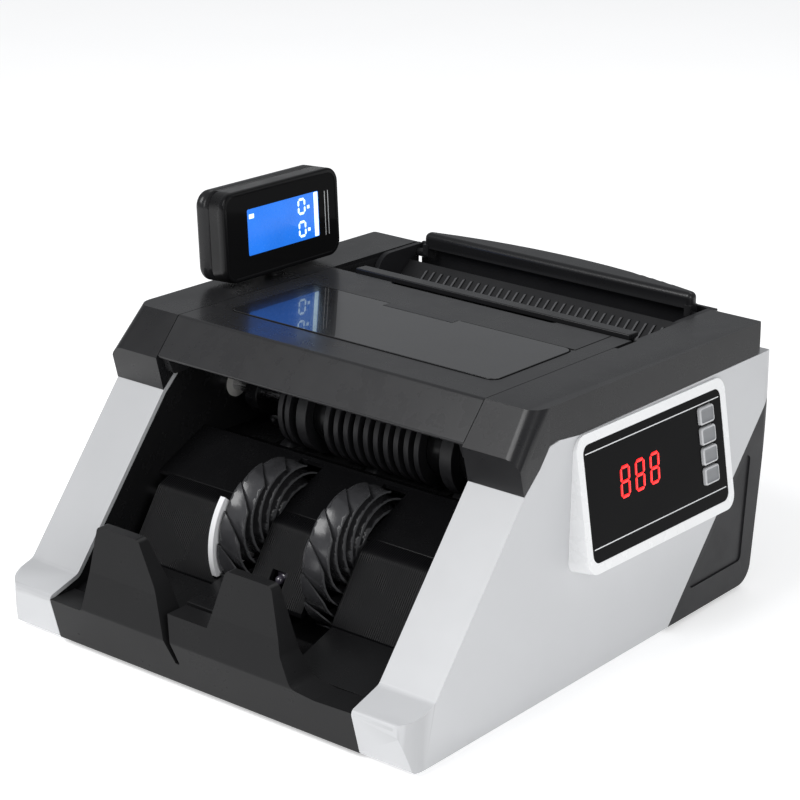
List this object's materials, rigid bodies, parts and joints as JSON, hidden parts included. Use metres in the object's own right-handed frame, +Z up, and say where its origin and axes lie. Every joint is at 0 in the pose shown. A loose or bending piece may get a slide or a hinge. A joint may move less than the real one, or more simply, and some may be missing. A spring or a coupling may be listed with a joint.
{
  "type": "banknote counter",
  "caption": "Desktop banknote counter with a rear feed hopper, a front stacker pocket with leaf wheels, side control panel and a swivelling customer display.",
  "frame": {"origin": "on the table plane, below the middle of the housing, feet standing on z = 0", "axes": "+X to the machine's right side with the control panel, +Y to the rear with the hopper, +Z up"},
  "size_m": [0.2935, 0.3229, 0.2139],
  "materials": {
    "silver_plastic": "satin silver-grey moulded plastic",
    "white_plastic": "smooth white moulded plastic",
    "black_plastic": "glossy near-black moulded plastic",
    "satin_black": "satin near-black moulded plastic",
    "grey_leaf": "mid-grey flexible plastic leaves",
    "friction_rubber": "dull dark rubber",
    "shaft_steel": "ground steel",
    "bush_plastic": "natural nylon",
    "badge_metal": "satin dark blank badge plate",
    "dark_window": "glossy dark acrylic",
    "led_red": "dark red digit filter",
    "lcd_blue": "backlit blue panel",
    "key_grey": "satin grey keys"
  },
  "bodies": {
    "chassis": {"base_tray": "satin_black", "bearings": "bush_plastic", "control_housing": "white_plastic", "control_window": "dark_window", "deck_screws": "shaft_steel", "digit_display": "led_red", "drive_belt": "friction_rubber", "front_fence": "satin_black", "guide_plate": "black_plastic", "hopper_cheek_left": "satin_black", "hopper_cheek_right": "satin_black", "hopper_lip": "black_plastic", "hopper_plate": "satin_black", "inner_wall_left": "satin_black", "inner_wall_right": "satin_black", "main_board": "satin_black", "main_motor": "shaft_steel", "note_sensor": "satin_black", "power_inlet": "satin_black", "rear_corner_left": "satin_black", "rear_corner_right": "satin_black", "rear_panel": "satin_black", "rubber_feet": "friction_rubber", "side_panel_left": "silver_plastic", "side_panel_right": "silver_plastic", "stacker_belt": "friction_rubber", "stacker_floor": "satin_black", "stacker_motor": "shaft_steel", "stacker_plate_left": "satin_black", "stacker_plate_middle": "satin_black", "stacker_plate_right": "satin_black", "top_cap_left": "black_plastic", "top_cap_right": "black_plastic", "transformer": "shaft_steel"},
    "lid": {"lid_shell": "black_plastic", "lid_panel": "black_plastic", "badge_plate": "badge_metal"},
    "back_rest": {"back_rest": "black_plastic"},
    "display": {"display_post": "satin_black", "display_front_shell": "black_plastic", "display_rear_shell": "black_plastic", "display_window": "dark_window", "display_lcd": "lcd_blue"},
    "key_1": {"key_1": "key_grey"},
    "key_2": {"key_2": "key_grey"},
    "key_3": {"key_3": "key_grey"},
    "key_4": {"key_4": "key_grey"},
    "rocker": {"power_rocker": "satin_black"},
    "drum": {"drum_shaft": "shaft_steel", "drum_core": "satin_black", "drum_rings": "friction_rubber", "drum_pulley": "bush_plastic"},
    "pickup": {"pickup_shaft": "shaft_steel", "pickup_rollers": "friction_rubber"},
    "pinch": {"pinch_rollers": "friction_rubber"},
    "stacker": {"stacker_shaft": "shaft_steel", "stacker_wheel_left": "grey_leaf", "stacker_wheel_right": "grey_leaf"},
    "motor_rotor": {"motor_pulley": "shaft_steel"},
    "stacker_motor_rotor": {"stacker_motor_pulley": "shaft_steel"}
  },
  "joints": [
    {"name": "lid_hinge", "type": "hinge", "parent": "chassis", "child": "lid", "pos_m": [0, -0.056, 0.136], "axis": [1, 0, 0], "range_deg": [0, 85]},
    {"name": "back_rest_hinge", "type": "hinge", "parent": "chassis", "child": "back_rest", "pos_m": [0, 0.151, 0.1496], "axis": [1, 0, 0], "range_deg": [0, 70]},
    {"name": "display_swivel", "type": "hinge", "parent": "chassis", "child": "display", "pos_m": [-0.1225, 0.045, 0.1576], "axis": [0, 0.0269, 0.9996], "range_deg": [-90, 90]},
    {"name": "key_1_press", "type": "slide", "parent": "chassis", "child": "key_1", "axis": [-0.9857, -0.0045, -0.1684], "range_m": [0, 0.0008], "stiffness_N_per_m": 400, "springref_m": -0.0008},
    {"name": "key_2_press", "type": "slide", "parent": "chassis", "child": "key_2", "axis": [-0.9857, -0.0045, -0.1684], "range_m": [0, 0.0008], "stiffness_N_per_m": 400, "springref_m": -0.0008},
    {"name": "key_3_press", "type": "slide", "parent": "chassis", "child": "key_3", "axis": [-0.9857, -0.0045, -0.1684], "range_m": [0, 0.0008], "stiffness_N_per_m": 400, "springref_m": -0.0008},
    {"name": "key_4_press", "type": "slide", "parent": "chassis", "child": "key_4", "axis": [-0.9857, -0.0045, -0.1684], "range_m": [0, 0.0008], "stiffness_N_per_m": 400, "springref_m": -0.0008},
    {"name": "rocker_tilt", "type": "hinge", "parent": "chassis", "child": "rocker", "pos_m": [0.03, 0.1507, 0.04213], "axis": [-1, 0, 0], "range_deg": [0, 7.5]},
    {"name": "drum_spin", "type": "hinge", "parent": "chassis", "child": "drum", "pos_m": [0, -0.007, 0.109], "axis": [1, 0, 0], "continuous": true},
    {"name": "pickup_spin", "type": "hinge", "parent": "chassis", "child": "pickup", "pos_m": [0, 0.0964, 0.0944], "axis": [1, 0, 0], "continuous": true},
    {"name": "motor_spin", "type": "hinge", "parent": "chassis", "child": "motor_rotor", "pos_m": [0, 0.096, 0.038], "axis": [1, 0, 0], "continuous": true},
    {"name": "pinch_spin", "type": "hinge", "parent": "chassis", "child": "pinch", "pos_m": [0, -0.007, 0.0764], "axis": [1, 0, 0], "continuous": true},
    {"name": "stacker_spin", "type": "hinge", "parent": "chassis", "child": "stacker", "pos_m": [0, -0.0655, 0.0585], "axis": [1, 0, 0], "continuous": true},
    {"name": "stacker_motor_spin", "type": "hinge", "parent": "chassis", "child": "stacker_motor_rotor", "pos_m": [0, 0, 0.034], "axis": [1, 0, 0], "continuous": true}
  ],
  "couplings": [
    {"joint": "pickup_spin", "follows": "drum_spin", "ratio": 1.3333},
    {"joint": "motor_spin", "follows": "drum_spin", "ratio": 1.7778},
    {"joint": "pinch_spin", "follows": "drum_spin", "ratio": -3},
    {"joint": "stacker_motor_spin", "follows": "stacker_spin", "ratio": 2}
  ]
}
